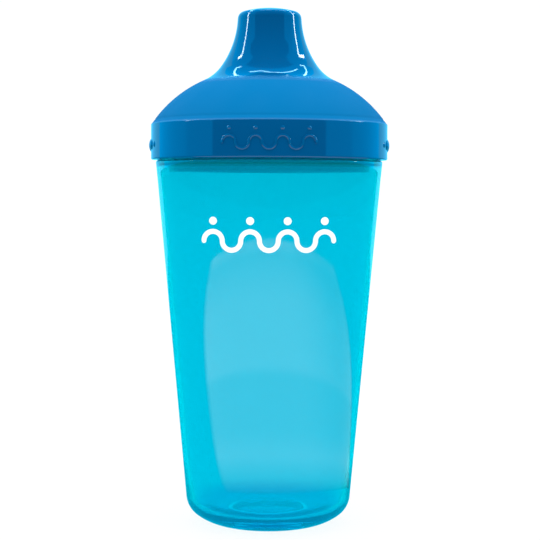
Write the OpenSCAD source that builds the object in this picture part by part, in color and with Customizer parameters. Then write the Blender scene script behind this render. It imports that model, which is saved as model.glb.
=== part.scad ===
// Sippy cup: a tapered tumbler, a screw lid with a moulded spout, a seal ring
// and a push-fit spill valve. Millimetres, +Z up, the cup's foot on z = 0.
// The lid's front is -Y and its grip bumps are at +X and -X.

/* [Cup] */
// Radius that the straight wall would have at the table
wall_foot_r = 25.5; // [25:0.1:26]
// Outward lean of the wall, in degrees
wall_lean = 5.2; // [5:0.1:5.6]
// Thickness of the wall
wall_t = 1.6; // [1.2:0.1:1.8]
// Height of the inside floor
floor_z = 5.0; // [4.5:0.1:6]
// Radius of the flat inside floor
floor_r = 19.4; // [17:0.1:20]
// Radius at which the rounded corner meets the table
foot_r = 13.0; // [12:0.1:14]
// Height of the shoulder under the lid
shoulder_z = 116.1; // [112:0.1:118]
// Height of the neck above the shoulder
neck_h = 11.5; // [11.4:0.1:12]

/* [Screw thread] */
// Rise of the lid in one turn
lead = 8; // [7.6:0.1:8.4]
// Length of each thread, in degrees round the neck
thread_sweep = 300; // [200:10:300]

/* [Lid] */
// Outside radius of the skirt
skirt_r = 37.6; // [37.4:0.1:37.9]
// Height of the skirt
skirt_h = 11.4; // [11.2:0.1:12]
// Wall of the dome and the spout
shell_t = 1.75; // [1.5:0.05:2]
// Height of the spout's top above the cup's shoulder
lid_h = 48.4; // [46.5:0.1:49.5]
// Radius of the spout below its lip
spout_r = 10.1; // [9.8:0.1:10.6]
// Diameter of each drinking hole
drink_hole_d = 2.0; // [1.5:0.1:2.4]

/* [Grip bumps] */
// Diameter of the middle bump
bump_d = 4.6; // [3:0.1:5]
// How far the middle bump stands out
bump_h = 0.75; // [0.4:0.05:0.9]

/* [Valve] */
// Distance from the spout's axis to the vent's axis
vent_y = 22; // [21.5:0.1:22.4]

/* [Hidden] */
$fn = 120;

lean = tan(wall_lean);
corner_r = 7.4;
underside_r = 17.3;
floor_fillet = 4.8;
neck_bend_top = 1.5;
neck_bend_foot = 4.1;
recess_r = 11.4;
recess_z = 3.3;
gate_d = 4;
gate_h = 0.3;

// Neck of the cup and the lid's bore round it
rim_z = shoulder_z + neck_h;
total_h = shoulder_z + lid_h;
neck_r = 34.3;
neck_bore_r = 32.75;
shoulder_fillet = 0.6;
rim_round = 0.5;
collar_r = 32.0;
collar_bore_r = 30.5;
collar_z = shoulder_z - 3.8;
bead_r = 32.4;
bead_z = shoulder_z - 2.2;
bead_w = 1.2;

// Thread ridges: one pair on the neck and one pair in the skirt
starts = 2;
pitch = lead / starts;
thread_h = 0.9;
thread_base_w = 1.6;
thread_crest_w = 0.8;
thread_sink = 0.6;
end_depth = 0.3;
thread_z = shoulder_z + 2.2;
lid_thread_drop = 1.55;
lid_thread_start = 45;
step_angle = 7.5;
run_in = 25;

// Skirt
skirt_z = shoulder_z + 0.3;
skirt_top_z = skirt_z + skirt_h;
skirt_bore_r = skirt_r - 1.85;
lid_thread_h = 1.1;
groove_r = 34.95;
groove_z = rim_z + 2.0;
groove_step_z = skirt_z + 10;
edge_round = 0.4;
ledge_r = 36.2;

// Dome and spout, as arcs in the half plane through the axis
dome_c = [5.3, shoulder_z - 9.85];
dome_r = 38.6;
flare_r = 28.4;
flare_c = [spout_r + flare_r, total_h - 1.9];
crown_r = 32;
lip_r = 2.2;
lip_c = [spout_r - lip_r,
         total_h - crown_r + sqrt(pow(crown_r - lip_r, 2) - pow(spout_r - lip_r, 2))];

// Sockets that the valve holder pushes into
socket_z = rim_z + 1.9;
socket_r = 10.95;
socket_t = 1.45;
socket_top_z = rim_z + 23.4;
stop_z = rim_z + 8.6;
stop_h = 1.0;
stop_r = 10.0;
vent_socket_r = 4.1;
vent_socket_t = 1.3;
vent_ceiling_z = rim_z + 9.6;
vent_hole_d = 1.4;
drink_hole_ring_r = 3.7;

// Seal ring
seal_in_r = collar_r + 0.15;
seal_out_r = groove_r - 0.15;
seal_gap = 0.05;
seal_round = 0.5;

// Valve holder and its two silicone valves
plate_z = rim_z - 0.8;
plate_t = 1.6;
plate_rim = 1.6;
vent_plate_rim = 1.4;
ring_r = socket_r - 0.1;
ring_bore_r = 8.6;
ring_top_z = stop_z - 0.2;
vent_ring_r = vent_socket_r - 0.1;
vent_ring_bore_r = 2.8;
vent_ring_top_z = rim_z + 5.4;
tab_w = 9;
tab_t = 1.6;
tab_h = 5;
flange_t = 1.0;
valve_gap = 0.1;
slit_w = 0.3;
spout_flange_r = 9.6;
spout_sleeve_t = 1.2;
spout_skin_z = rim_z + 4.6;
spout_skin_t = 0.9;
spout_slit_l = 7;
vent_flange_r = 4.4;
vent_sleeve_t = 0.8;
vent_skin_z = rim_z + 2.8;
vent_skin_t = 0.7;
vent_slit_l = 2.4;

// Grip bumps: the angle of each from the side, and its size beside the middle one's
bump_row = [[-17.6, 0.45], [-10.6, 0.76], [0, 1], [10.6, 0.76], [17.6, 0.45]];
bump_z = skirt_z + 4.6;
bump_root = 0.8;

// Raised wave on the front and the back of the skirt
wave_arc_r = 2.0;
wave_line_w = 0.9;
wave_arcs = 7;
wave_h = 0.35;
wave_z = skirt_z + 4.6;
bubble_d = 1.3;
bubble_lift = 4.2;

// Points along an arc, from angle a0 to angle a1
function arc(c, r, a0, a1, n = 12) =
    [for (i = [0 : n]) let (a = a0 + (a1 - a0) * i / n) c + r * [cos(a), sin(a)]];

// Angle of a point as seen from a centre
function angle_of(c, p) = atan2(p[1] - c[1], p[0] - c[0]);

// Where two circles cross, on the right of the line from c1 to c2
function crossing(c1, r1, c2, r2) =
    let (d = norm(c2 - c1),
         along = (r1 * r1 - r2 * r2 + d * d) / (2 * d),
         up = sqrt(r1 * r1 - along * along),
         u = (c2 - c1) / d)
    c1 + along * u + up * [u[1], -u[0]];

function wall_r(z) = wall_foot_r + z * lean;

// Centre of the corner arc that touches both the wall and the underside arc
function corner_centre() =
    let (s = sqrt(1 + lean * lean),
         k0 = wall_foot_r - corner_r * s - foot_r,
         reach = underside_r - corner_r,
         qa = 1 + lean * lean,
         qb = 2 * (k0 * lean - underside_r),
         qc = k0 * k0 + underside_r * underside_r - reach * reach,
         z = (-qb - sqrt(qb * qb - 4 * qa * qc)) / (2 * qa))
    [k0 + foot_r + z * lean, z];

function cup_outline() =
    let (under_c = [foot_r, underside_r],
         corner_c = corner_centre(),
         joint_a = angle_of(under_c, corner_c),
         floor_c = [floor_r, floor_z + floor_fillet])
    concat(
        [[recess_r, 0]],
        arc(under_c, underside_r, -90, joint_a, 8),
        arc(corner_c, corner_r, joint_a, -wall_lean, 10),
        [[wall_r(shoulder_z - shoulder_fillet), shoulder_z - shoulder_fillet]],
        arc([wall_r(shoulder_z) - shoulder_fillet, shoulder_z - shoulder_fillet],
            shoulder_fillet, 20, 90, 4),
        [[neck_r, shoulder_z]],
        arc([neck_r - rim_round, rim_z - rim_round], rim_round, 0, 90, 4),
        arc([neck_bore_r + rim_round, rim_z - rim_round], rim_round, 90, 180, 4),
        [[neck_bore_r, shoulder_z - neck_bend_top]],
        [[wall_r(shoulder_z - neck_bend_foot) - wall_t, shoulder_z - neck_bend_foot]],
        [[wall_r(floor_z + floor_fillet) - wall_t, floor_z + floor_fillet]],
        arc(floor_c, floor_fillet, -8, -90, 8),
        [[0, floor_z]],
        [[0, recess_z]],
        [[recess_r - 1.2, recess_z]],
        [[recess_r - 0.4, recess_z - 0.8]]
    );

// One helical ridge, from z = 0 upwards; side is 1 on the outside of a wall, -1 on its inside
module ridge(root_r, height, side, sweep) {
    n = ceil(sweep / step_angle);
    pts = [for (i = [0 : n])
        let (a = sweep * i / n,
             z = lead * a / 360,
             grow = min(1, a / run_in, (sweep - a) / run_in),
             inner = root_r - side * thread_sink,
             crest = root_r + side * (height * grow - end_depth * (1 - grow)))
        for (q = [[inner, -thread_base_w / 2], [crest, -thread_crest_w / 2],
                  [crest, thread_crest_w / 2], [inner, thread_base_w / 2]])
        [q[0] * cos(a), q[0] * sin(a), z + q[1]]];
    sides = [for (i = [0 : n - 1], j = [0 : 3])
        let (p = 4 * i + j, q = 4 * i + (j + 1) % 4)
        each [[p, q, q + 4], [p, q + 4, p + 4]]];
    ends = [[0, 2, 1], [0, 3, 2],
            [4 * n, 4 * n + 1, 4 * n + 2], [4 * n, 4 * n + 2, 4 * n + 3]];
    faces = concat(sides, ends);
    polyhedron(pts, side > 0 ? faces : [for (f = faces) [f[0], f[2], f[1]]]);
}

// Ridges that begin at an angle and follow the helix through z at angle 0
module thread(root_r, height, side, z, begin) {
    for (k = [0 : starts - 1])
        rotate([0, 0, 360 * k / starts + begin])
            translate([0, 0, z + lead * begin / 360])
                ridge(root_r, height, side, thread_sweep - begin);
}

module tube(r_out, r_in, z0, z1) {
    translate([0, 0, z0])
        difference() {
            cylinder(r = r_out, h = z1 - z0);
            translate([0, 0, -1])
                cylinder(r = r_in, h = z1 - z0 + 2);
        }
}

module cup() {
    color([0.0, 0.72, 0.87, 0.55]) {
        rotate_extrude()
            polygon(cup_outline());
        translate([0, 0, recess_z - gate_h])
            cylinder(d = gate_d, h = gate_h + 0.4);
        thread(neck_r, thread_h, 1, thread_z, 0);
    }
}

// Outer face of the lid, from the skirt's lower edge to the top of the spout
function lid_outer() =
    let (crease = crossing(flare_c, flare_r, dome_c, dome_r),
         ledge_z = dome_c[1] + sqrt(pow(dome_r, 2) - pow(ledge_r - dome_c[0], 2)),
         lip_join = angle_of([0, total_h - crown_r], lip_c))
    concat(
        arc([skirt_r - edge_round, skirt_z + edge_round], edge_round, -90, 0, 4),
        arc([skirt_r - edge_round, skirt_top_z - edge_round], edge_round, 0, 60, 4),
        [[ledge_r + 0.15, ledge_z - 0.5]],
        arc(dome_c, dome_r, angle_of(dome_c, [ledge_r, ledge_z]), angle_of(dome_c, crease), 16),
        arc(flare_c, flare_r, angle_of(flare_c, crease) + 360,
            180 + asin((flare_c[1] - lip_c[1]) / flare_r), 14),
        arc(lip_c, lip_r, 0, lip_join, 6),
        arc([0, total_h - crown_r], crown_r, lip_join, 90, 5)
    );

// Inner face of the lid, from the top of the bore to the skirt's lower edge
function lid_inner() =
    let (dome_in = dome_r - shell_t,
         flare_in = flare_r + shell_t,
         crease = crossing(flare_c, flare_in, dome_c, dome_in),
         bore_top_z = lip_c[1] - 0.4,
         bore_top_r = flare_c[0] - sqrt(pow(flare_in, 2) - pow(flare_c[1] - bore_top_z, 2)),
         collar_top_z = dome_c[1] + sqrt(pow(dome_in, 2) - pow(collar_bore_r - dome_c[0], 2)))
    concat(
        [[0, total_h - 1.8], [bore_top_r - 2, total_h - 2.0]],
        arc(flare_c, flare_in, angle_of(flare_c, [bore_top_r, bore_top_z]) + 360,
            angle_of(flare_c, crease) + 360, 14),
        arc(dome_c, dome_in, angle_of(dome_c, crease),
            angle_of(dome_c, [collar_bore_r, collar_top_z]), 12),
        [[collar_bore_r, collar_z + 0.4], [collar_bore_r + 0.4, collar_z]],
        [[collar_r - 0.4, collar_z], [collar_r, collar_z + 0.4]],
        [[collar_r, bead_z - bead_w / 2], [bead_r, bead_z - bead_w / 6]],
        [[bead_r, bead_z + bead_w / 6], [collar_r, bead_z + bead_w / 2]],
        [[collar_r, groove_z], [groove_r, groove_z], [groove_r, groove_step_z + 0.8]],
        [[skirt_bore_r, groove_step_z], [skirt_bore_r, skirt_z + 0.3], [skirt_bore_r + 0.3, skirt_z]]
    );

// Everything inside the lid's outer face
module lid_envelope() {
    rotate_extrude()
        polygon(concat([[0, skirt_z]], lid_outer()));
}

// Part of a ball that stands out of the skirt
module bump(angle, z, d, h) {
    ball_r = (d * d / 4 + h * h) / (2 * h);
    rotate([0, 0, angle])
        translate([skirt_r - ball_r + h, 0, z])
            sphere(r = ball_r, $fn = 60);
}

// Five bumps on each side, smaller towards the ends of the row
module grip_bumps() {
    intersection() {
        tube(skirt_r + 2 * bump_h, skirt_r - bump_root, skirt_z, skirt_top_z);
        for (side = [0, 180], place = bump_row)
            bump(side + place[0], bump_z, bump_d * place[1], bump_h * place[1]);
    }
}

// A flat wave of half rings with a dot over each crest
module wave_outline() {
    for (i = [0 : wave_arcs - 1]) {
        up = i % 2 == 0;
        translate([(i - (wave_arcs - 1) / 2) * 2 * wave_arc_r, 0])
            intersection() {
                difference() {
                    circle(r = wave_arc_r + wave_line_w / 2, $fn = 40);
                    circle(r = wave_arc_r - wave_line_w / 2, $fn = 40);
                }
                translate([-2 * wave_arc_r, up ? 0 : -2 * wave_arc_r])
                    square([4 * wave_arc_r, 2 * wave_arc_r]);
            }
        if (up)
            translate([(i - (wave_arcs - 1) / 2) * 2 * wave_arc_r, bubble_lift])
                circle(d = bubble_d, $fn = 24);
    }
}

module skirt_waves() {
    intersection() {
        tube(skirt_r + wave_h, skirt_r - 0.5, skirt_z + 0.5, skirt_top_z - 0.5);
        for (side = [0, 180])
            rotate([90, 0, side])
                translate([0, wave_z, 0])
                    linear_extrude(skirt_r + 2)
                        wave_outline();
    }
}

// Wall of the holder's socket, and the solid that the vent's socket is bored in
module sockets() {
    intersection() {
        lid_envelope();
        union() {
            tube(socket_r + socket_t, socket_r, socket_z, socket_top_z);
            translate([0, vent_y, socket_z])
                cylinder(r = vent_socket_r + vent_socket_t, h = 20);
        }
    }
}

module lid() {
    color([0.0, 0.45, 0.78]) {
        difference() {
            union() {
                rotate_extrude()
                    polygon(concat(lid_outer(), lid_inner()));
                sockets();
                tube(socket_r + 0.5, stop_r, stop_z, stop_z + stop_h);
            }
            translate([0, vent_y, socket_z - 1])
                cylinder(r = vent_socket_r, h = vent_ceiling_z - socket_z + 1);
            translate([0, vent_y, vent_ceiling_z - 1])
                cylinder(d = vent_hole_d, h = 12);
            for (a = [90, 210, 330])
                rotate([0, 0, a])
                    translate([drink_hole_ring_r, 0, total_h - 4])
                        cylinder(d = drink_hole_d, h = 6);
        }
        grip_bumps();
        skirt_waves();
        thread(skirt_bore_r, lid_thread_h, -1, thread_z - lid_thread_drop, lid_thread_start);
    }
}

module seal_ring() {
    z0 = rim_z + seal_gap;
    z1 = groove_z - seal_gap;
    color([0.92, 0.93, 0.94])
        rotate_extrude()
            polygon(concat(
                arc([seal_in_r + seal_round, z0 + seal_round], seal_round, 180, 270, 4),
                arc([seal_out_r - seal_round, z0 + seal_round], seal_round, 270, 360, 4),
                arc([seal_out_r - seal_round, z1 - seal_round], seal_round, 0, 90, 4),
                arc([seal_in_r + seal_round, z1 - seal_round], seal_round, 90, 180, 4)));
}

module valve_holder() {
    color([0.93, 0.94, 0.95])
        difference() {
            union() {
                translate([0, 0, plate_z]) {
                    cylinder(r = ring_r + plate_rim, h = plate_t);
                    translate([0, vent_y, 0])
                        cylinder(r = vent_ring_r + vent_plate_rim, h = plate_t);
                    translate([-tab_w / 2, 0, 0])
                        cube([tab_w, vent_y, plate_t]);
                }
                translate([0, 0, plate_z])
                    cylinder(r = ring_r, h = ring_top_z - plate_z);
                translate([0, vent_y, plate_z])
                    cylinder(r = vent_ring_r, h = vent_ring_top_z - plate_z);
                translate([-tab_w / 2, -ring_r - 1, plate_z - tab_h])
                    cube([tab_w, tab_t, tab_h + 0.5]);
            }
            translate([0, 0, plate_z - 1])
                cylinder(r = ring_bore_r, h = 20);
            translate([0, vent_y, plate_z - 1])
                cylinder(r = vent_ring_bore_r, h = 20);
        }
}

// A silicone plug: flange under the plate, sleeve in the ring, slit membrane across its top
module slit_valve(flange_r, bore_r, sleeve_t, top_z, skin_t, slit_l, slits) {
    sleeve_r = bore_r - valve_gap;
    top_of_flange = plate_z - seal_gap;
    difference() {
        union() {
            translate([0, 0, top_of_flange - flange_t])
                cylinder(r = flange_r, h = flange_t);
            translate([0, 0, top_of_flange - 0.2])
                cylinder(r = sleeve_r, h = top_z - top_of_flange + 0.2);
        }
        translate([0, 0, top_of_flange - flange_t - 1])
            cylinder(r = sleeve_r - sleeve_t, h = top_z - skin_t - top_of_flange + flange_t + 1);
        for (k = [0 : slits - 1])
            rotate([0, 0, 45 + 90 * k])
                translate([-slit_l / 2, -slit_w / 2, top_z - skin_t - 1])
                    cube([slit_l, slit_w, skin_t + 2]);
    }
}

module spout_valve() {
    color([0.85, 0.90, 0.93, 0.7])
        slit_valve(spout_flange_r, ring_bore_r, spout_sleeve_t, spout_skin_z, spout_skin_t,
                   spout_slit_l, 2);
}

module vent_valve() {
    color([0.85, 0.90, 0.93, 0.7])
        translate([0, vent_y, 0])
            slit_valve(vent_flange_r, vent_ring_bore_r, vent_sleeve_t, vent_skin_z, vent_skin_t,
                       vent_slit_l, 1);
}

cup();
lid();
seal_ring();
valve_holder();
spout_valve();
vent_valve();
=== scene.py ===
"""Looks of the sippy cup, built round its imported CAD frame. Lengths are in metres."""

import math

import bmesh
import bpy
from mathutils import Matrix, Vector


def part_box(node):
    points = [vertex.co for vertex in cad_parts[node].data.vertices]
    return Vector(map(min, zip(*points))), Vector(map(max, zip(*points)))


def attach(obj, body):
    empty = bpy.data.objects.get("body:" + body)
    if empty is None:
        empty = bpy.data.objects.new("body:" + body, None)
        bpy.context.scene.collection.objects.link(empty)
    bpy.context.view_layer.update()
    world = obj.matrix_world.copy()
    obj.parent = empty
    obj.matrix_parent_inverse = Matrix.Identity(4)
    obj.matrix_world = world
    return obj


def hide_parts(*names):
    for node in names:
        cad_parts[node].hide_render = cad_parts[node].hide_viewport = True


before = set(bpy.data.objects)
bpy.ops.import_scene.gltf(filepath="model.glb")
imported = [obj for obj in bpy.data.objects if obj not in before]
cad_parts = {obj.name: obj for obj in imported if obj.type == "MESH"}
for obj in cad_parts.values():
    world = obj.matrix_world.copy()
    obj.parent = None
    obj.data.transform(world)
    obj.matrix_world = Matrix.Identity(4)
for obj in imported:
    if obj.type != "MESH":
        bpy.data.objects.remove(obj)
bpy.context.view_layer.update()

MM = 0.001

# Sizes that the frame gives
RIM_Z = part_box("cup")[1].z
TOP_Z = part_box("lid")[1].z

# Cup
WALL_FOOT_R = 25.5 * MM
WALL_LEAN = math.radians(5.2)
WALL_T = 1.6 * MM
FLOOR_Z = 5.0 * MM
FLOOR_R = 19.4 * MM
FLOOR_FILLET = 4.8 * MM
FOOT_R = 13.0 * MM
FOOT_IN_R = 11.4 * MM
CORNER_R = 7.4 * MM
UNDERSIDE_R = 17.3 * MM
RECESS_Z = 3.3 * MM
GATE_R = 2.0 * MM
GATE_H = 0.3 * MM
SHOULDER_Z = RIM_Z - 11.5 * MM
SHOULDER_FILLET = 0.6 * MM
NECK_R = 34.3 * MM
NECK_BORE_R = 32.75 * MM
BEND_TOP_Z = SHOULDER_Z - 1.1 * MM
BEND_FOOT_Z = SHOULDER_Z - 1.5 * MM
BEND_SOFT = 0.4 * MM

# Screw thread
LEAD = 8 * MM
STARTS = 2
SWEEP = math.radians(300)
RUN_IN = math.radians(25)
THREAD_Z = SHOULDER_Z + 2.2 * MM
NECK_THREAD_H = 0.9 * MM
LID_THREAD_H = 1.1 * MM
LID_THREAD_DROP = 1.55 * MM
LID_THREAD_START = math.radians(45)
THREAD_HALF_BASE = 0.8 * MM
THREAD_HALF_CREST = 0.4 * MM

# Lid
SKIRT_R = 37.6 * MM
SKIRT_Z = SHOULDER_Z + 0.3 * MM
SKIRT_TOP_Z = SKIRT_Z + 11.4 * MM
SKIRT_BORE_R = SKIRT_R - 1.85 * MM
GROOVE_R = 34.95 * MM
GROOVE_Z = RIM_Z + 2 * MM
GROOVE_STEP_Z = SKIRT_Z + 10 * MM
LEDGE_R = 36.2 * MM
COLLAR_R = 32 * MM
COLLAR_BORE_R = 30.5 * MM
COLLAR_Z = SHOULDER_Z - 3.8 * MM
BEAD_R = 32.4 * MM
BEAD_Z = COLLAR_Z + 1.6 * MM
SHELL_T = 1.75 * MM
DOME_C = (5.3 * MM, SHOULDER_Z - 9.85 * MM)
DOME_R = 38.6 * MM
SPOUT_R = 10.1 * MM
FLARE_R = 28.4 * MM
FLARE_C = (SPOUT_R + FLARE_R, TOP_Z - 1.9 * MM)
FOOT_BLEND_R = 14 * MM
CROWN_R = 32 * MM
LIP_R = 2.2 * MM
SOCKET_Z = RIM_Z + 1.9 * MM
SOCKET_R = 10.95 * MM
SOCKET_T = 1.45 * MM
STOP_Z = RIM_Z + 8.6 * MM
STOP_R = 10.0 * MM
VENT_Y = 22 * MM
VENT_SOCKET_R = 4.1 * MM
VENT_SOCKET_T = 1.3 * MM
VENT_CEILING_Z = RIM_Z + 9.6 * MM
VENT_HOLE_R = 0.7 * MM
DRINK_HOLE_R = 1.0 * MM
DRINK_HOLE_RING_R = 3.7 * MM

# Raised marks
BUMP_Z = SKIRT_Z + 4.6 * MM
BUMP_D = 4.6 * MM
BUMP_H = 0.75 * MM
BUMP_ROW = ((-17.6, 0.45), (-10.6, 0.76), (0, 1), (10.6, 0.76), (17.6, 0.45))
WAVE_ARC_R = 2.0 * MM
WAVE_LINE_W = 0.9 * MM
WAVE_ARCS = 7
WAVE_H = 0.35 * MM
WAVE_Z = SKIRT_Z + 4.6 * MM
BUBBLE_D = 1.3 * MM
BUBBLE_LIFT = 4.2 * MM
MARK_ROOT = 0.4 * MM

# Print on the cup
PRINT_Z = 91.5 * MM
PRINT_ARC_R = 2.8 * MM
PRINT_LINE_W = 1.5 * MM
PRINT_T = 0.08 * MM
PRINT_ROOT = 0.02 * MM
PRINT_DOT_D = 2.4 * MM
PRINT_DOT_LIFT = 6.0 * MM

# How finely the round forms are cut
TURN_STEPS = 288
DOT_STEPS = 32
HOLE_STEPS = 40
BOSS_STEPS = 64
THREAD_PITCH = 0.17 * MM
SHARP_DEG = 40
CAP_DEG = (8, 25, 45, 65)

# Heights where a surface changes: the thick base of the cup and the satin dome of the lid, both with painted
# light or shade in their colour
# Below this the cup is darker and bluer: partly the deeper tint of thick plastic, partly painted shade.
BASE_TINT_AND_SHADE_Z = 6.5 * MM
# Between the skirt's top and this height the lid's colour is painted lighter, as light falling from above,
# besides its satin finish.
DOME_TOP_Z = SHOULDER_Z + 25.0 * MM

# Stage: where the sheets stand that the plastic mirrors
SIDE_X = 0.65
SIDE_LOW_Z = 0.09
SIDE_HIGH_Z = 0.75
REAR_HIGH_Z = 0.9
REAR_LOW_Z = -0.3
FRONT_Y = -0.47
MIDDLE_Y = -0.07
REAR_Y = 0.55
BACK_Y = 0.95
CEILING_Z = 1.15
CEILING_X = 0.95
CEILING_FRONT_Y = 0.12
CEILING_BACK_Y = 1.3
TOP_FRONT_Y = -0.25
TOP_IN_X = 0.55
COVE_FOOT_X = 0.66
COVE_TOP_X = 0.8
TUBE_X = 0.64
TUBE_W = 0.04
OVERHEAD_W = 0.042
OVERHEAD_Z = 1.14
SKY_R = 7
UNDER_REACH = 3
UNDER_Z = -0.004

# Stage: the mirrored part of the table
TABLE_R = 0.46
TABLE_Z = 0.001
TABLE_LEFT_Y = -0.04
TABLE_LEFT_BEND = 3.5
TABLE_LEFT_BEND_FROM = 0.2
TABLE_RIGHT_DEG = 130
TABLE_RIGHT_BEND = 420
TABLE_RIGHT_BEND_FROM = 0.1
TABLE_RINGS = (0.06, 0.07, 0.08, 0.095, 0.12, 0.16, 0.2, 0.25, 0.3, 0.35, 0.4, TABLE_R)
TABLE_COLUMNS = 32
TABLE_DIM_FROM = 17
TABLE_DIM_OVER = 12
TABLE_DIM = 0.62
TABLE_GLOW = 1.95
TABLE_STOPS = ((0.13, 0), (0.165, 0.4), (0.21, 0.85), (0.27, 0.62),
               (0.42, 0.62), (0.45, 0.95), (0.7, 0.9), (0.92, 0.55))


# ---------------------------------------------------------------- outlines

def arc(centre, radius, a0, a1, step=6.0):
    """Points along an arc, in degrees, about one for each step."""
    count = max(2, math.ceil(abs(a1 - a0) / step))
    angles = [math.radians(a0 + (a1 - a0) * i / count) for i in range(count + 1)]
    return [(centre[0] + radius * math.cos(a), centre[1] + radius * math.sin(a)) for a in angles]


def angle_of(centre, point):
    return math.degrees(math.atan2(point[1] - centre[1], point[0] - centre[0]))


def crossing(c1, r1, c2, r2):
    """Where two circles cross, on the right of the line from c1 to c2."""
    dx, dz = c2[0] - c1[0], c2[1] - c1[1]
    d = math.hypot(dx, dz)
    along = (r1 * r1 - r2 * r2 + d * d) / (2 * d)
    up = math.sqrt(r1 * r1 - along * along)
    return (c1[0] + (along * dx + up * dz) / d, c1[1] + (along * dz - up * dx) / d)


def split(p, q, pitch):
    """Points between p and q, about pitch apart, without q."""
    count = max(1, math.ceil(math.dist(p, q) / pitch))
    return [(p[0] + (q[0] - p[0]) * i / count, p[1] + (q[1] - p[1]) * i / count) for i in range(count)]


def toward(p, q, distance):
    """The point at a distance from p on the way to q."""
    share = distance / math.dist(p, q)
    return (p[0] + (q[0] - p[0]) * share, p[1] + (q[1] - p[1]) * share)


def soft_corner(p, q, r, size, steps=6):
    """Points round the corner at q, between p and r, with flats beside it that keep the shading true."""
    flat_w = 0.1 * MM
    a, b = toward(q, p, size), toward(q, r, size)
    curve = []
    for t in (i / steps for i in range(steps + 1)):
        x, z = [(1 - t) ** 2 * a[k] + 2 * t * (1 - t) * q[k] + t * t * b[k] for k in (0, 1)]
        curve.append((x, z))
    return [toward(a, p, flat_w)] + curve + [toward(b, r, flat_w)]


def turns(count):
    """Angles of a whole turn, in even steps."""
    return [2 * math.pi * k / count for k in range(count)]


def wall_r(z):
    """Outer radius of the cup's wall at a height."""
    return WALL_FOOT_R + z * math.tan(WALL_LEAN)


def corner_centre():
    """Centre of the corner arc that touches both the wall and the underside arc."""
    lean = math.tan(WALL_LEAN)
    k0 = WALL_FOOT_R - CORNER_R * math.hypot(1, lean) - FOOT_R
    reach = UNDERSIDE_R - CORNER_R
    qa = 1 + lean * lean
    qb = 2 * (k0 * lean - UNDERSIDE_R)
    qc = k0 * k0 + UNDERSIDE_R ** 2 - reach ** 2
    z = (-qb - math.sqrt(qb * qb - 4 * qa * qc)) / (2 * qa)
    return (k0 + FOOT_R + z * lean, z)


# ---------------------------------------------------------------- meshes

def new_object(name, bm, sharp=SHARP_DEG):
    """A smooth-shaded object from a bmesh, with edges sharper than the angle kept crisp."""
    bmesh.ops.recalc_face_normals(bm, faces=bm.faces)
    mesh = bpy.data.meshes.new(name)
    bm.to_mesh(mesh)
    bm.free()
    mesh.shade_smooth()
    mesh.set_sharp_from_angle(angle=math.radians(sharp))
    obj = bpy.data.objects.new(name, mesh)
    bpy.context.scene.collection.objects.link(obj)
    return obj


def join_rings(bm, low, high):
    """Faces between two rings of vertices, either of which may be a single point."""
    count = max(len(low), len(high))
    for k in range(count):
        n = (k + 1) % count
        corners = [low[k % len(low)], low[n % len(low)], high[n % len(high)], high[k % len(high)]]
        bm.faces.new(list(dict.fromkeys(corners)))


def join_rows(bm, rows):
    """Skins rows of points, each a closed loop, in the order given. Returns the rings of vertices."""
    rings = [[bm.verts.new(p) for p in row] for row in rows]
    for low, high in zip(rings, rings[1:]):
        join_rings(bm, low, high)
    return rings


def lathe(bm, outline, segments=TURN_STEPS, centre=(0.0, 0.0), relief=None):
    """Turns a closed outline of (radius, z) points about a vertical axis through centre.

    relief maps a point's place in the outline to a function of (angle, z) that gives an extra radius.
    """
    relief = relief or {}
    rings = []
    for i, (r, z) in enumerate(outline):
        if r < 1e-7:
            rings.append([bm.verts.new((centre[0], centre[1], z))])
            continue
        ring = []
        for a in turns(segments):
            rr = r + (relief[i](a, z) if i in relief else 0.0)
            ring.append(bm.verts.new((centre[0] + rr * math.cos(a), centre[1] + rr * math.sin(a), z)))
        rings.append(ring)
    for low, high in zip(rings, rings[1:] + rings[:1]):
        if len(low) > 1 or len(high) > 1:
            join_rings(bm, low, high)


def smoothstep(x):
    """0 below 0, 1 above 1, and a soft rise between them."""
    x = min(1.0, max(0.0, x))
    return x * x * (3 - 2 * x)


def thread_relief(height, z0, begin=0.0):
    """Height of the screw thread over its wall, at an angle and a z. begin is the first angle of a ridge."""
    def relief(a, z):
        best = 0.0
        for k in range(STARTS):
            turn = (a - 2 * math.pi * k / STARTS) % (2 * math.pi)
            if turn < begin or turn > SWEEP:
                continue
            grow = min(1.0, (turn - begin) / RUN_IN, (SWEEP - turn) / RUN_IN)
            off = abs(z - (z0 + LEAD * turn / (2 * math.pi)))
            flank = (THREAD_HALF_BASE - off) / (THREAD_HALF_BASE - THREAD_HALF_CREST)
            best = max(best, smoothstep(flank) * smoothstep(grow))
        return height * best
    return relief


def on_round(radius_at, across, z, lift):
    """A point on the front of a round wall: across is measured along X, lift is outwards."""
    r = radius_at(z) + lift
    return Vector((across, -math.sqrt(max(r * r - across * across, 0.0)), z))


def dome_patch(bm, place, size, height):
    """A raised round dome with a buried root. place(dx, dz, lift) gives a point on the wall."""
    ball = (size * size / 4 + height * height) / (2 * height)
    steps = 7
    levels = []
    for s in range(1, steps + 1):
        d = size / 2 * s / steps
        levels.append((d, math.sqrt(ball * ball - d * d) - (ball - height)))
    levels += [(size * 0.54, -0.03 * MM), (size * 0.54, -MARK_ROOT)]
    rows = [[place(0, 0, height)]]
    for d, lift in levels:
        rows.append([place(d * math.cos(t), d * math.sin(t), lift) for t in turns(DOT_STEPS)])
    rows.append([place(0, 0, -MARK_ROOT)])
    join_rows(bm, rows)


def crests(arc_r):
    """Where the middles of a wave's upper arcs are, across."""
    return [(i - (WAVE_ARCS - 1) / 2) * 2 * arc_r for i in range(0, WAVE_ARCS, 2)]


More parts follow.
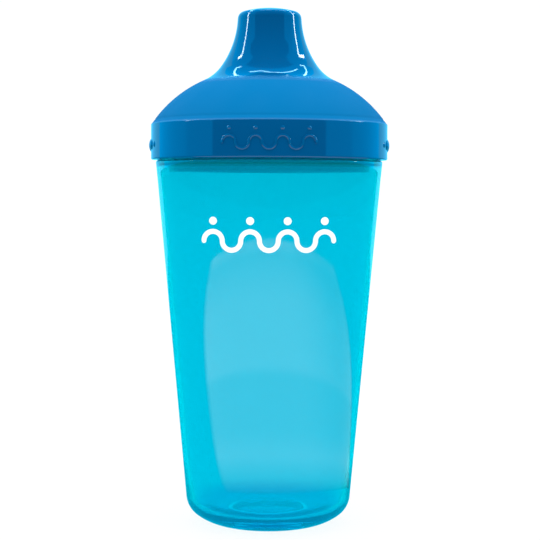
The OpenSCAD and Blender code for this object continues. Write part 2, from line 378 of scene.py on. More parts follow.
def wave_path(arc_r, step=9):
    """Middle line of a wave made of half rings, from its left end to its right end."""
    points = []
    for i in range(WAVE_ARCS):
        mid = (i - (WAVE_ARCS - 1) / 2) * 2 * arc_r
        side = 1 if i % 2 == 0 else -1
        for a in range(0, 180, step):
            points.append((mid - arc_r * math.cos(math.radians(a)), side * arc_r * math.sin(math.radians(a))))
    points.append((WAVE_ARCS * arc_r, 0.0))
    return points


def ribbon(bm, path, width, place, section):
    """Sweeps a closed section along a flat path with round ends.

    section is a list of (share of the half width, lift). place(x, z, lift) gives a point on the wall.
    """
    half = width / 2
    last = len(path) - 1
    rows = []
    for i, (x, z) in enumerate(path):
        a, b = path[max(i - 1, 0)], path[min(i + 1, last)]
        length = math.hypot(b[0] - a[0], b[1] - a[1])
        tx, tz = half * (b[0] - a[0]) / length, half * (b[1] - a[1]) / length
        stations = [(0.0, 1.0)]
        if i == 0:
            stations = [(-math.cos(math.radians(q)), math.sin(math.radians(q))) for q in CAP_DEG] + stations
        if i == last:
            stations += [(math.cos(math.radians(q)), math.sin(math.radians(q))) for q in reversed(CAP_DEG)]
        for on, share in stations:
            rows.append([place(x + on * tx - w * share * tz, z + on * tz + w * share * tx, lift)
                         for w, lift in section])
    rings = join_rows(bm, rows)
    bm.faces.new(rings[0])
    bm.faces.new(rings[-1])


# ---------------------------------------------------------------- pieces

def cup_outline():
    """Closed outline of the cup, and which of its points carry the thread."""
    under_c, corner_c = (FOOT_R, UNDERSIDE_R), corner_centre()
    joint_a = angle_of(under_c, corner_c)
    lean_deg = math.degrees(WALL_LEAN)
    shoulder_c = (wall_r(SHOULDER_Z) - SHOULDER_FILLET, SHOULDER_Z - SHOULDER_FILLET)
    wall_top = (wall_r(shoulder_c[1]), shoulder_c[1])
    rim_round = 0.5 * MM
    neck_low = SHOULDER_Z + 0.8 * MM
    neck_high = RIM_Z - 0.9 * MM
    bore_top = (NECK_BORE_R, RIM_Z - 1 * MM)
    bend_top = (NECK_BORE_R, BEND_TOP_Z)
    bend_foot = (wall_r(BEND_FOOT_Z) - WALL_T, BEND_FOOT_Z)
    floor_c = (FLOOR_R, FLOOR_Z + FLOOR_FILLET)
    wall_foot = (wall_r(floor_c[1]) - WALL_T, floor_c[1])
    gate_top_z = RECESS_Z - GATE_H
    recess_round = 1.2 * MM

    outline = [(FOOT_IN_R, 0.15 * MM), (FOOT_IN_R + 0.15 * MM, 0.0)]
    outline += arc(under_c, UNDERSIDE_R, -90, joint_a, 3)
    outline += arc(corner_c, CORNER_R, joint_a, -lean_deg, 3)[1:]
    outline += split(outline[-1], wall_top, 6 * MM)[1:]
    outline += arc(shoulder_c, SHOULDER_FILLET, -lean_deg, 90, 12)
    outline += [(NECK_R + 0.3 * MM, SHOULDER_Z), (NECK_R + 0.09 * MM, SHOULDER_Z + 0.09 * MM)]
    outline += [(NECK_R, SHOULDER_Z + 0.3 * MM)]
    first = len(outline)
    outline += split((NECK_R, neck_low), (NECK_R, neck_high), THREAD_PITCH)
    threaded = range(first, len(outline))
    outline += arc((NECK_R - rim_round, RIM_Z - rim_round), rim_round, 0, 90, 12)
    outline += arc((NECK_BORE_R + rim_round, RIM_Z - rim_round), rim_round, 90, 180, 12)
    outline += split(bore_top, toward(bend_top, bore_top, BEND_SOFT), 4 * MM)
    outline += soft_corner(bore_top, bend_top, bend_foot, BEND_SOFT)
    outline += soft_corner(bend_top, bend_foot, wall_foot, BEND_SOFT)
    outline += split(toward(bend_foot, wall_foot, 2 * BEND_SOFT), wall_foot, 6 * MM)
    outline += arc(floor_c, FLOOR_FILLET, -8, -90, 4)
    outline += [(FLOOR_R * 0.6, FLOOR_Z), (FLOOR_R * 0.2, FLOOR_Z), (0.0, FLOOR_Z)]
    outline += [(0.0, gate_top_z), (GATE_R - 0.15 * MM, gate_top_z)]
    outline += [(GATE_R, gate_top_z + 0.15 * MM), (GATE_R + 0.1 * MM, RECESS_Z)]
    outline += arc((FOOT_IN_R - 1.3 * MM, RECESS_Z - recess_round), recess_round, 90, 10, 12)
    return outline, threaded


def build_cup():
    outline, threaded = cup_outline()
    thread = thread_relief(NECK_THREAD_H, THREAD_Z)
    bm = bmesh.new()
    lathe(bm, outline, relief={i: thread for i in threaded})
    cup = new_object("cup_shell", bm)
    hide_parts("cup")
    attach(cup, "cup")
    return cup


def print_place(x, z, lift):
    """A point on the print, from the print's middle on the front of the cup."""
    return on_round(wall_r, x, PRINT_Z + z, lift)


def build_print():
    """A plain white wave with dots over its crests, printed on the front of the cup."""
    bm = bmesh.new()
    section = [(-1, PRINT_ROOT), (-0.96, PRINT_T), (0, PRINT_T)]
    section += [(0.96, PRINT_T), (1, PRINT_ROOT), (0, PRINT_ROOT)]
    ribbon(bm, wave_path(PRINT_ARC_R, 6), PRINT_LINE_W, print_place, section)
    for mid in crests(PRINT_ARC_R):
        rows = [[print_place(mid, PRINT_DOT_LIFT, PRINT_T)]]
        for share, lift in ((0.25, PRINT_T), (0.48, PRINT_T), (0.5, PRINT_ROOT), (0.25, PRINT_ROOT)):
            d = share * PRINT_DOT_D
            rows.append([print_place(mid + d * math.cos(t), PRINT_DOT_LIFT + d * math.sin(t), lift)
                         for t in turns(DOT_STEPS)])
        rows.append([print_place(mid, PRINT_DOT_LIFT, PRINT_ROOT)])
        join_rows(bm, rows)
    mark = new_object("front_print", bm, sharp=50)
    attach(mark, "cup")
    return mark


def lid_outline():
    """Closed outline of the lid, and which of its points carry the inside thread."""
    blend_c = crossing(FLARE_C, FLARE_R - FOOT_BLEND_R, DOME_C, DOME_R + FOOT_BLEND_R)
    dome_end, flare_end = angle_of(DOME_C, blend_c), angle_of(FLARE_C, blend_c) + 360
    ledge_z = DOME_C[1] + math.sqrt(DOME_R ** 2 - (LEDGE_R - DOME_C[0]) ** 2)
    lip_c = (SPOUT_R - LIP_R, TOP_Z - CROWN_R + math.sqrt((CROWN_R - LIP_R) ** 2 - (SPOUT_R - LIP_R) ** 2))
    crown_c = (0.0, TOP_Z - CROWN_R)
    lip_join = angle_of(crown_c, lip_c)
    edge = 0.4 * MM
    outline = arc((SKIRT_R - edge, SKIRT_Z + edge), edge, -90, 0, 15)
    outline += split((SKIRT_R, SKIRT_Z + 2 * edge), (SKIRT_R, SKIRT_TOP_Z - 2 * edge), 2 * MM)
    outline += arc((SKIRT_R - edge, SKIRT_TOP_Z - edge), edge, 0, 62, 10)
    outline += [(LEDGE_R + 0.35 * MM, ledge_z - 0.55 * MM), (LEDGE_R + 0.12 * MM, ledge_z - 0.35 * MM)]
    outline += arc(DOME_C, DOME_R, angle_of(DOME_C, (LEDGE_R, ledge_z)), dome_end, 0.9)
    outline += arc(blend_c, FOOT_BLEND_R, dome_end + 180, flare_end, 1.4)[1:]
    outline += arc(FLARE_C, FLARE_R, flare_end,
                   180 + math.degrees(math.asin((FLARE_C[1] - lip_c[1]) / FLARE_R)), 1.4)[1:]
    outline += arc(lip_c, LIP_R, 0, lip_join, 7)
    outline += arc(crown_c, CROWN_R, lip_join, 90, 2)[1:-1] + [(0.0, TOP_Z)]

    dome_in, flare_in = DOME_R - SHELL_T, FLARE_R + SHELL_T
    in_crease = crossing(FLARE_C, flare_in, DOME_C, dome_in)
    bore_top_z = lip_c[1] - 0.4 * MM
    bore_top_r = FLARE_C[0] - math.sqrt(flare_in ** 2 - (FLARE_C[1] - bore_top_z) ** 2)
    socket_in_z = FLARE_C[1] - math.sqrt(flare_in ** 2 - (FLARE_C[0] - SOCKET_R) ** 2)
    socket_out_r = SOCKET_R + SOCKET_T
    socket_out_z = FLARE_C[1] - math.sqrt(flare_in ** 2 - (FLARE_C[0] - socket_out_r) ** 2)
    collar_top_z = DOME_C[1] + math.sqrt(dome_in ** 2 - (COLLAR_BORE_R - DOME_C[0]) ** 2)
    outline += [(0.0, TOP_Z - 1.8 * MM), (bore_top_r - 2 * MM, TOP_Z - 2.0 * MM)]
    outline += arc(FLARE_C, flare_in, angle_of(FLARE_C, (bore_top_r, bore_top_z)) + 360,
                   angle_of(FLARE_C, (SOCKET_R, socket_in_z)) + 360, 2)
    outline += [(SOCKET_R, STOP_Z + 1.2 * MM), (STOP_R, STOP_Z + 1.0 * MM)]
    outline += [(STOP_R, STOP_Z), (SOCKET_R, STOP_Z)]
    outline += [(SOCKET_R, SOCKET_Z + 0.3 * MM), (SOCKET_R + 0.3 * MM, SOCKET_Z)]
    outline += [(socket_out_r - 0.3 * MM, SOCKET_Z), (socket_out_r, SOCKET_Z + 0.3 * MM)]
    outline += arc(FLARE_C, flare_in, angle_of(FLARE_C, (socket_out_r, socket_out_z)) + 360,
                   angle_of(FLARE_C, in_crease) + 360, 2)
    outline += arc(DOME_C, dome_in, angle_of(DOME_C, in_crease),
                   angle_of(DOME_C, (COLLAR_BORE_R, collar_top_z)), 2)[1:]
    tip = 0.5 * MM
    outline += arc((COLLAR_BORE_R + tip, COLLAR_Z + tip), tip, 180, 270, 18)
    outline += arc((COLLAR_R - tip, COLLAR_Z + tip), tip, 270, 360, 18)
    bead = BEAD_R - COLLAR_R
    for q in range(-3, 4):
        outline.append((COLLAR_R + bead * smoothstep(1 - abs(q) / 3), BEAD_Z + q * 0.2 * MM))
    outline += [(COLLAR_R, GROOVE_Z), (GROOVE_R, GROOVE_Z), (GROOVE_R, GROOVE_STEP_Z + 0.8 * MM)]
    first = len(outline)
    outline += split((SKIRT_BORE_R, GROOVE_STEP_Z), (SKIRT_BORE_R, SKIRT_Z + 0.3 * MM), THREAD_PITCH)
    threaded = range(first, len(outline))
    outline += [(SKIRT_BORE_R, SKIRT_Z + 0.3 * MM), (SKIRT_BORE_R + 0.3 * MM, SKIRT_Z)]
    return outline, threaded


def skirt_place(angle, z0):
    """A function that places points on the skirt, round an angle from the front."""
    cos, sin = math.cos(math.radians(angle)), math.sin(math.radians(angle))

    def place(x, z, lift):
        p = on_round(lambda _z: SKIRT_R, x, z0 + z, lift)
        return Vector((p.x * cos - p.y * sin, p.x * sin + p.y * cos, p.z))
    return place


def cut(obj, cutters):
    """Cuts round upright holes through an object. Each cutter is (centre, radius, foot z, top z)."""
    for centre, radius, z0, z1 in cutters:
        bm = bmesh.new()
        lathe(bm, [(0.0, z0), (radius, z0), (radius, z1), (0.0, z1)], HOLE_STEPS, centre)
        tool = new_object("cutter", bm)
        step = obj.modifiers.new("cut", "BOOLEAN")
        step.operation = "DIFFERENCE"
        step.solver = "EXACT"
        step.object = tool
        bpy.context.view_layer.objects.active = obj
        bpy.ops.object.modifier_apply(modifier=step.name)
        bpy.data.objects.remove(tool)
    obj.data.shade_smooth()
    obj.data.set_sharp_from_angle(angle=math.radians(SHARP_DEG))


def build_vent_boss(bm):
    """The short tube under the dome that the vent valve pushes into.

    A level without a height is buried in the dome's shell.
    """
    outer = VENT_SOCKET_R + VENT_SOCKET_T
    edge = 0.3 * MM
    buried_r = DOME_R - 0.6 * SHELL_T
    levels = [(VENT_HOLE_R, None), (VENT_HOLE_R, VENT_CEILING_Z), (VENT_SOCKET_R, VENT_CEILING_Z)]
    levels += [(VENT_SOCKET_R, SOCKET_Z + edge), (VENT_SOCKET_R + edge, SOCKET_Z)]
    levels += [(outer - edge, SOCKET_Z), (outer, SOCKET_Z + edge), (outer, None)]
    rows = []
    for r, z in levels:
        row = []
        for a in turns(BOSS_STEPS):
            x, y = r * math.cos(a), VENT_Y + r * math.sin(a)
            away = math.hypot(x, y) - DOME_C[0]
            top = DOME_C[1] + math.sqrt(buried_r ** 2 - away ** 2)
            row.append((x, y, top if z is None else z))
        rows.append(row)
    rings = join_rows(bm, rows)
    join_rings(bm, rings[-1], rings[0])


def build_marks(bm):
    """The grip bumps at both sides, and the wave with bubbles at the front and the back."""
    for side in (90, -90):
        for angle, share in BUMP_ROW:
            dome_patch(bm, skirt_place(side + angle, BUMP_Z), BUMP_D * share, BUMP_H * share)
    section = [(-1, 0.0), (-0.85, 0.18 * MM), (-0.55, 0.31 * MM), (0, WAVE_H), (0.55, 0.31 * MM)]
    section += [(0.85, 0.18 * MM), (1, 0.0), (1, -MARK_ROOT), (-1, -MARK_ROOT)]
    for side in (0, 180):
        ribbon(bm, wave_path(WAVE_ARC_R), WAVE_LINE_W, skirt_place(side, WAVE_Z), section)
        place = skirt_place(side, WAVE_Z + BUBBLE_LIFT)
        for mid in crests(WAVE_ARC_R):
            dome_patch(bm, lambda x, z, lift, m=mid: place(x + m, z, lift), BUBBLE_D, WAVE_H)


def build_lid():
    outline, threaded = lid_outline()
    thread = thread_relief(LID_THREAD_H, THREAD_Z - LID_THREAD_DROP, LID_THREAD_START)
    bm = bmesh.new()
    lathe(bm, outline, relief={i: (lambda a, z: -thread(a, z)) for i in threaded})
    lid = new_object("lid_shell", bm)
    holes = [((0.0, VENT_Y), VENT_HOLE_R, VENT_CEILING_Z, TOP_Z)]
    for a in map(math.radians, (90, 210, 330)):
        ring = (DRINK_HOLE_RING_R * math.cos(a), DRINK_HOLE_RING_R * math.sin(a))
        holes.append((ring, DRINK_HOLE_R, TOP_Z - 4 * MM, TOP_Z + 1 * MM))
    cut(lid, holes)

    bm = bmesh.new()
    build_marks(bm)
    build_vent_boss(bm)
    marks = new_object("lid_marks", bm)
    bpy.ops.object.select_all(action="DESELECT")
    marks.select_set(True)
    lid.select_set(True)
    bpy.context.view_layer.objects.active = lid
    bpy.ops.object.join()
    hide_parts("lid")
    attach(lid, "lid")
    return lid


# ---------------------------------------------------------------- materials

def node_material(name):
    material = bpy.data.materials.new(name)
    material.use_nodes = True
    tree = material.node_tree
    shader = tree.nodes["Principled BSDF"]
    return material, tree, shader


def link(tree, a, b):
    tree.links.new(a, b)


def noise(tree, scale, detail=3.0):
    coords = tree.nodes.new("ShaderNodeTexCoord")
    tex = tree.nodes.new("ShaderNodeTexNoise")
    tex.inputs["Scale"].default_value = scale
    tex.inputs["Detail"].default_value = detail
    link(tree, coords.outputs["Object"], tex.inputs["Vector"])
    return tex.outputs["Fac"]


def ramp(tree, source, low, high):
    """Turns noise into a number or a colour between low and high."""
    node = tree.nodes.new("ShaderNodeMix" if isinstance(low, tuple) else "ShaderNodeMapRange")
    if isinstance(low, tuple):
        node.data_type = "RGBA"
        link(tree, source, node.inputs["Factor"])
        node.inputs["A"].default_value = (*low, 1)
        node.inputs["B"].default_value = (*high, 1)
        return [o for o in node.outputs if o.type == "RGBA"][0]
    link(tree, source, node.inputs["Value"])
    node.inputs["From Min"].default_value = 0.3
    node.inputs["From Max"].default_value = 0.7
    node.inputs["To Min"].default_value = low
    node.inputs["To Max"].default_value = high
    return node.outputs["Result"]


def bump(tree, shader, source, distance, strength=1.0):
    node = tree.nodes.new("ShaderNodeBump")
    node.inputs["Strength"].default_value = strength
    node.inputs["Distance"].default_value = distance
    link(tree, source, node.inputs["Height"])
    link(tree, node.outputs["Normal"], shader.inputs["Normal"])


def maths(tree, operation, first, second):
    """One step of arithmetic on a node output and another, or a number."""
    node = tree.nodes.new("ShaderNodeMath")
    node.operation = operation
    link(tree, first, node.inputs[0])
    if isinstance(second, float):
        node.inputs[1].default_value = second
    else:
        link(tree, second, node.inputs[1])
    return node.outputs["Value"]


def above(tree, height, half):
    """0 below a height and 1 above it, softly over half on each side. A negative half swaps them."""
    coords = tree.nodes.new("ShaderNodeTexCoord")
    axes = tree.nodes.new("ShaderNodeSeparateXYZ")
    step = tree.nodes.new("ShaderNodeMapRange")
    step.inputs["From Min"].default_value = height - half
    step.inputs["From Max"].default_value = height + half
    link(tree, coords.outputs["Object"], axes.inputs["Vector"])
    link(tree, axes.outputs["Z"], step.inputs["Value"])
    return step.outputs["Result"]


def satin_and_lit_dome_share(tree):
    """1 on the satin dome of the lid, whose colour is also painted lighter as light falling from above, 0 on
    its polished skirt and spout.
    """
    over_skirt = above(tree, SKIRT_TOP_Z, 0.4 * MM)
    under_spout = above(tree, DOME_TOP_Z, -1.0 * MM)
    return maths(tree, "MINIMUM", over_skirt, under_spout)


def blend(tree, share, low, high):
    """Mixes two node outputs, numbers or colours."""
    node = tree.nodes.new("ShaderNodeMix")
    kind = "RGBA" if low.type == "RGBA" else "VALUE"
    node.data_type = "RGBA" if kind == "RGBA" else "FLOAT"
    link(tree, share, next(i for i in node.inputs if i.name == "Factor" and i.enabled))
    link(tree, low, next(i for i in node.inputs if i.name == "A" and i.type == kind))
    link(tree, high, next(i for i in node.inputs if i.name == "B" and i.type == kind))
    return next(o for o in node.outputs if o.type == kind)


def cup_plastic():
    material, tree, shader = node_material("cup_plastic")
    wall = ramp(tree, noise(tree, 18), (0.0, 0.676, 0.816), (0.0, 0.684, 0.826))
    # The base's colour is darker and bluer than the wall's: partly the deeper tint of thick plastic, partly
    # painted shade.
    thick_and_shaded = ramp(tree, noise(tree, 18), (0.0, 0.365, 0.655), (0.0, 0.375, 0.665))
    link(tree, blend(tree, above(tree, BASE_TINT_AND_SHADE_Z, 3.0 * MM), thick_and_shaded, wall), shader.inputs["Base Color"])
    link(tree, ramp(tree, noise(tree, 60), 0.02, 0.05), shader.inputs["Roughness"])
    shader.inputs["Transmission Weight"].default_value = 0.88
    shader.inputs["IOR"].default_value = 1.49
    bump(tree, shader, noise(tree, 120, 2), 0.00002, 0.2)
    clear = tree.nodes.new("ShaderNodeBsdfTransparent")
    clear.inputs["Color"].default_value = (0.8, 0.95, 0.98, 1)
    paths = tree.nodes.new("ShaderNodeLightPath")
    mix = tree.nodes.new("ShaderNodeMixShader")
    either = maths(tree, "MAXIMUM", paths.outputs["Is Shadow Ray"], paths.outputs["Is Diffuse Ray"])
    link(tree, either, mix.inputs["Fac"])
    link(tree, shader.outputs["BSDF"], mix.inputs[1])
    link(tree, clear.outputs["BSDF"], mix.inputs[2])
    link(tree, mix.outputs["Shader"], tree.nodes["Material Output"].inputs["Surface"])
    return material


def lid_plastic():
    material, tree, shader = node_material("lid_plastic")
    on_dome = satin_and_lit_dome_share(tree)
    polished = ramp(tree, noise(tree, 25), (0.0, 0.063, 0.190), (0.0, 0.067, 0.200))
    # The dome's colour is lighter than that of the polished skirt and spout, on the same plastic: painted
    # light from above.
    satin = ramp(tree, noise(tree, 25), (0.0, 0.116, 0.290), (0.0, 0.120, 0.300))
    link(tree, blend(tree, on_dome, polished, satin), shader.inputs["Base Color"])
    polished = ramp(tree, noise(tree, 90), 0.04, 0.07)
    satin = ramp(tree, noise(tree, 90), 0.82, 0.88)
    link(tree, blend(tree, on_dome, polished, satin), shader.inputs["Roughness"])
    polished = ramp(tree, noise(tree, 60), 0.48, 0.52)
    satin = ramp(tree, noise(tree, 60), 0.03, 0.06)
    link(tree, blend(tree, on_dome, polished, satin), shader.inputs["Specular IOR Level"])
    shader.inputs["IOR"].default_value = 1.5
    bump(tree, shader, noise(tree, 400, 2), 0.00001, 0.15)
    return material


def print_ink():
    material, tree, shader = node_material("print_ink")
    white = ramp(tree, noise(tree, 300), (0.90, 0.92, 0.94), (0.96, 0.97, 0.98))
    link(tree, white, shader.inputs["Base Color"])
    link(tree, ramp(tree, noise(tree, 800), 0.35, 0.5), shader.inputs["Roughness"])
    return material


def silicone(name, colour, through):
    """Soft silicone. through is the share of light that passes into it."""
    material, tree, shader = node_material(name)
    darker = tuple(c * 0.95 for c in colour)
    link(tree, ramp(tree, noise(tree, 80), colour, darker), shader.inputs["Base Color"])
    link(tree, ramp(tree, noise(tree, 300), 0.35, 0.5), shader.inputs["Roughness"])
    shader.inputs["Transmission Weight"].default_value = through
    shader.inputs["IOR"].default_value = 1.41
    bump(tree, shader, noise(tree, 1500, 2), 0.00001, 0.3)
    return material


def holder_plastic():
    material, tree, shader = node_material("holder_plastic")
    white = ramp(tree, noise(tree, 60), (0.82, 0.84, 0.85), (0.88, 0.89, 0.90))
    link(tree, white, shader.inputs["Base Color"])
    link(tree, ramp(tree, noise(tree, 200), 0.3, 0.42), shader.inputs["Roughness"])
    bump(tree, shader, noise(tree, 900, 2), 0.00002, 0.3)
    return material


def paint(obj, material):
    """Puts one material on every slot of an object."""
    if not obj.material_slots:
        obj.data.materials.append(material)
    for slot in obj.material_slots:
        slot.material = material


# ---------------------------------------------------------------- stage

def soft_sun(name, strength, tilt, spread):
    """Even light, tilted from straight down and soft over a spread in degrees, that nothing mirrors."""
    data = bpy.data.lights.new(name, "SUN")
    data.energy = strength
    data.angle = math.radians(spread)
    obj = bpy.data.objects.new(name, data)
    bpy.context.scene.collection.objects.link(obj)
    obj.rotation_euler = (math.radians(tilt), 0, 0)
    obj.visible_camera = False
    obj.visible_glossy = False
    obj.visible_transmission = False


def level(x0, x1, y0, y1, z):
    """Corners of a level sheet."""
    return [(x0, y0, z), (x1, y0, z), (x1, y1, z), (x0, y1, z)]


def sideways(x, y0, y1, z0, z1):
    """Corners of an upright sheet that faces along X."""
    return [(x, y0, z0), (x, y1, z0), (x, y1, z1), (x, y0, z1)]


def flat(name, corners, material):
    """A flat four-cornered sheet that isn't part of the object."""
    mesh = bpy.data.meshes.new(name)
    mesh.from_pydata([tuple(c) for c in corners], [], [(0, 1, 2, 3)])
    obj = bpy.data.objects.new(name, mesh)
    bpy.context.scene.collection.objects.link(obj)
    obj.data.materials.append(material)
    return obj


def mirrored(name, corners, material):
    """A glowing sheet that only shows as a reflection."""
    only_mirrored(flat(name, corners, material))


def only_mirrored(obj):
    """Hides an object from all but the reflections."""
    obj.visible_camera = False
    obj.visible_diffuse = False
    obj.visible_transmission = False
    obj.visible_shadow = False


def table_glow():
    """Glow of the table top round the cup, which changes with the distance from the cup."""
    material = glow("table_glow", 1.0)
    tree = material.node_tree
    shader = next(n for n in tree.nodes if n.type == "EMISSION")
    coords = tree.nodes.new("ShaderNodeTexCoord")
    distance = tree.nodes.new("ShaderNodeVectorMath")
    distance.operation = "LENGTH"
    link(tree, coords.outputs["Object"], distance.inputs[0])
    steps = tree.nodes.new("ShaderNodeValToRGB")
    for place, value in TABLE_STOPS:
        stop = steps.color_ramp.elements.new(place)
        stop.color = (value, value, value, 1)
    link(tree, maths(tree, "DIVIDE", distance.outputs["Value"], TABLE_R), steps.inputs["Fac"])
    edge = tree.nodes.new("ShaderNodeAttribute")
    edge.attribute_name = "edge"
    strength = maths(tree, "MULTIPLY", steps.outputs["Color"], TABLE_GLOW)
    link(tree, maths(tree, "MULTIPLY", strength, edge.outputs["Fac"]), shader.inputs["Strength"])
    return material


def table_sector(material):
    """The part of the table in front of the cup that its wall mirrors.

    It fades out at both ends and is dimmer towards its right end.
    """
    bm = bmesh.new()
    edge = bm.verts.layers.float.new("edge")
    rings = []
    for r in TABLE_RINGS:
        left_bend = TABLE_LEFT_BEND * max(0, r - TABLE_LEFT_BEND_FROM) ** 2
        left = -math.acos(-TABLE_LEFT_Y / r) * (1 - left_bend)
        right = math.radians(TABLE_RIGHT_DEG - TABLE_RIGHT_BEND * (r - TABLE_RIGHT_BEND_FROM) ** 2)
        ring = []
        for i in range(TABLE_COLUMNS + 1):
            a = left + (right - left) * i / TABLE_COLUMNS
            vert = bm.verts.new((r * math.sin(a), -r * math.cos(a), TABLE_Z))
            dimmer = TABLE_DIM * smoothstep((i - TABLE_DIM_FROM) / TABLE_DIM_OVER)
            vert[edge] = min(1, i, TABLE_COLUMNS - i) * (1 - dimmer)
            ring.append(vert)
        rings.append(ring)
    for low, high in zip(rings, rings[1:]):
        for k in range(TABLE_COLUMNS):
            bm.faces.new([low[k], low[k + 1], high[k + 1], high[k]])
    obj = new_object("table_panel", bm)
    obj.data.materials.append(material)
    only_mirrored(obj)


def strip(name, a, b, width, material):
    """A thin bright tube from a to b, as seen from the spout."""
    a, b = Vector(a), Vector(b)
    view = (a + b) / 2 - Vector((0, 0, TOP_Z))
    side = (b - a).cross(view).normalized() * width / 2
    mirrored(name, (a - side, b - side, b + side, a + side), material)


def glow(name, strength, colour=(1, 1, 1)):
    """A material that only gives light."""
    material = bpy.data.materials.new(name)
    material.use_nodes = True
    tree = material.node_tree
    tree.nodes.clear()
    shader = tree.nodes.new("ShaderNodeEmission")
    shader.inputs["Strength"].default_value = strength
    shader.inputs["Color"].default_value = (*colour, 1)
    out = tree.nodes.new("ShaderNodeOutputMaterial")
    link(tree, shader.outputs["Emission"], out.inputs["Surface"])
    return material


def floor_pale():
    """A pale floor that glows a little, so that shadows on it stay soft and light."""
    material, tree, shader = node_material("floor_pale")
    shader.inputs["Base Color"].default_value = (0.1, 0.1, 0.1, 1)
    shader.inputs["Roughness"].default_value = 1.0
    shader.inputs["Specular IOR Level"].default_value = 0.0
    shader.inputs["Emission Color"].default_value = (1, 1, 1, 1)
    shader.inputs["Emission Strength"].default_value = 0.83
    return material


def build_world():
    """White all round, for everything but mirroring."""
    world = bpy.data.worlds.new("studio")
    world.use_nodes = True
    world.node_tree.nodes["Background"].inputs["Color"].default_value = (1.02, 1.02, 1.02, 1)
    bpy.context.scene.world = world
    world.cycles_visibility.glossy = False


def mirrored_sky(radius, material):
    """The dim blue room that glossy surfaces mirror where no panel stands."""
    bm = bmesh.new()
    bmesh.ops.create_uvsphere(bm, u_segments=32, v_segments=16, radius=radius)
    sky = new_object("sky_panel", bm)
    sky.data.materials.append(material)
    only_mirrored(sky)


def build_panels():
    """Glowing walls, coves and a ceiling round a dim blue room."""
    blue = (0.0, 0.45, 1.0)
    dim = glow("panel_dim", 2.4, blue)
    bright = glow("panel_bright", 3.0, blue)
    rear = glow("panel_rear", 1.9, (0.09, 0.6, 1.0))
    for name, side in (("left", -1), ("right", 1)):
        x = side * SIDE_X
        mirrored(name + "_front_panel", sideways(x, FRONT_Y, MIDDLE_Y, SIDE_LOW_Z, SIDE_HIGH_Z), dim)
        mirrored(name + "_panel", sideways(x, MIDDLE_Y, REAR_Y, SIDE_LOW_Z, SIDE_HIGH_Z), bright)
        mirrored(name + "_rear_panel", sideways(x, REAR_Y, BACK_Y, SIDE_LOW_Z, REAR_HIGH_Z), rear)
    ceiling = level(-CEILING_X, CEILING_X, CEILING_FRONT_Y, CEILING_BACK_Y, CEILING_Z)
    mirrored("ceiling_panel", ceiling, dim)
    back = [(-SIDE_X, BACK_Y, REAR_LOW_Z), (SIDE_X, BACK_Y, REAR_LOW_Z)]
    back += [(SIDE_X, BACK_Y, REAR_HIGH_Z), (-SIDE_X, BACK_Y, REAR_HIGH_Z)]
    mirrored("back_panel", back, rear)
    for name, side in (("left", -1), ("right", 1)):
        top = level(side * TOP_IN_X, side * CEILING_X, TOP_FRONT_Y, CEILING_FRONT_Y, CEILING_Z)
        mirrored(name + "_top_panel", top, dim)
        foot_x, top_x = side * COVE_FOOT_X, side * COVE_TOP_X
        cove = [(foot_x, TOP_FRONT_Y, SIDE_HIGH_Z), (foot_x, BACK_Y, SIDE_HIGH_Z)]
        cove += [(top_x, BACK_Y, CEILING_Z), (top_x, TOP_FRONT_Y, CEILING_Z)]
        mirrored(name + "_cove_panel", cove, dim)


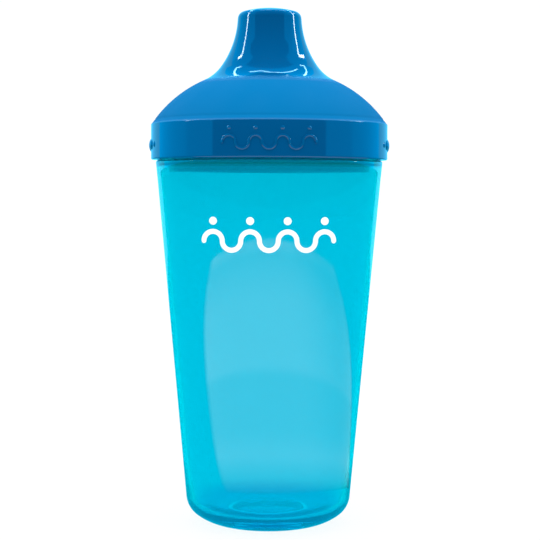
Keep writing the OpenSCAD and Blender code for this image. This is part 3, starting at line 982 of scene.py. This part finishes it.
def build_tubes(tube, overhead):
    """Thin tubes along the walls, and three runs of them under the ceiling."""
    strip("tube_left", (-TUBE_X, -0.07, 0.27), (-TUBE_X, 0.10, 0.76), TUBE_W, tube)
    strip("tube_left_top", (-TUBE_X, 0.11, 0.79), (-TUBE_X, 0.27, 0.77), TUBE_W, tube)
    strip("tube_right", (TUBE_X, 0.07, 0.27), (TUBE_X, 0.18, 0.74), TUBE_W, tube)
    strip("tube_right_top", (TUBE_X, 0.19, 0.74), (TUBE_X, 0.42, 0.67), TUBE_W, tube)
    runs = {"middle": ((-0.25, 0.47), (-0.11, 0.30), (0.02, 0.44), (0.19, 0.48), (0.47, 0.40)),
            "left": ((-0.57, 0.32), (-0.61, 0.53), (-0.36, 0.90), (-0.26, 1.14)),
            "right": ((0.70, 0.35), (0.77, 0.56), (0.43, 0.87), (0.30, 1.06))}
    for side, places in runs.items():
        for i, (a, b) in enumerate(zip(places, places[1:])):
            strip(f"tube_{side}_{i}", (*a, OVERHEAD_Z), (*b, OVERHEAD_Z), OVERHEAD_W, overhead)


def build_reflections():
    """What the glossy plastic mirrors: panels, a dim sky, the table and thin tubes."""
    build_panels()
    mirrored_sky(SKY_R, glow("sky_glow", 1.0, (0, 0.26, 0.5)))
    table_sector(table_glow())
    under = level(-UNDER_REACH, UNDER_REACH, -UNDER_REACH, UNDER_REACH, UNDER_Z)
    mirrored("under_panel", under, glow("under_glow", 0.85, (0, 0.73, 1)))
    tube = glow("tube_glow", 24.0, (0.7, 0.9, 1.0))
    overhead = glow("tube_overhead", 16.0, (0.35, 0.8, 1.0))
    build_tubes(tube, overhead)


def build_stage():
    build_world()
    build_reflections()
    floor = flat("floor", level(-4, 4, -4, 6, 0), floor_pale())
    floor.visible_glossy = False
    floor.visible_shadow = False
    soft_sun("key_top", strength=4.0, tilt=4, spread=60)
    soft_sun("bounce_below", strength=1.5, tilt=180, spread=90)


def build_camera():
    data = bpy.data.cameras.new("camera")
    data.sensor_width = 36
    data.lens = 102.7
    camera = bpy.data.objects.new("camera", data)
    bpy.context.scene.collection.objects.link(camera)
    pitch = math.radians(2.773)
    roll = math.radians(-0.2)
    camera.location = (0.0003, -0.493, 0.10516)
    camera.rotation_euler = (math.pi / 2 - pitch, roll, 0)
    bpy.context.scene.camera = camera


# ---------------------------------------------------------------- the whole

cup_shell = build_cup()
front_print = build_print()
lid_shell = build_lid()
paint(cup_shell, cup_plastic())
paint(front_print, print_ink())
paint(lid_shell, lid_plastic())
paint(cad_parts["seal_ring"], silicone("seal_silicone", (0.82, 0.84, 0.86), 0.15))
paint(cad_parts["valve_holder"], holder_plastic())
clear = silicone("valve_silicone", (0.80, 0.85, 0.88), 0.5)
paint(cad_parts["spout_valve"], clear)
paint(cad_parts["vent_valve"], clear)
build_stage()
build_camera()
bpy.context.scene.view_settings.view_transform = "Standard"
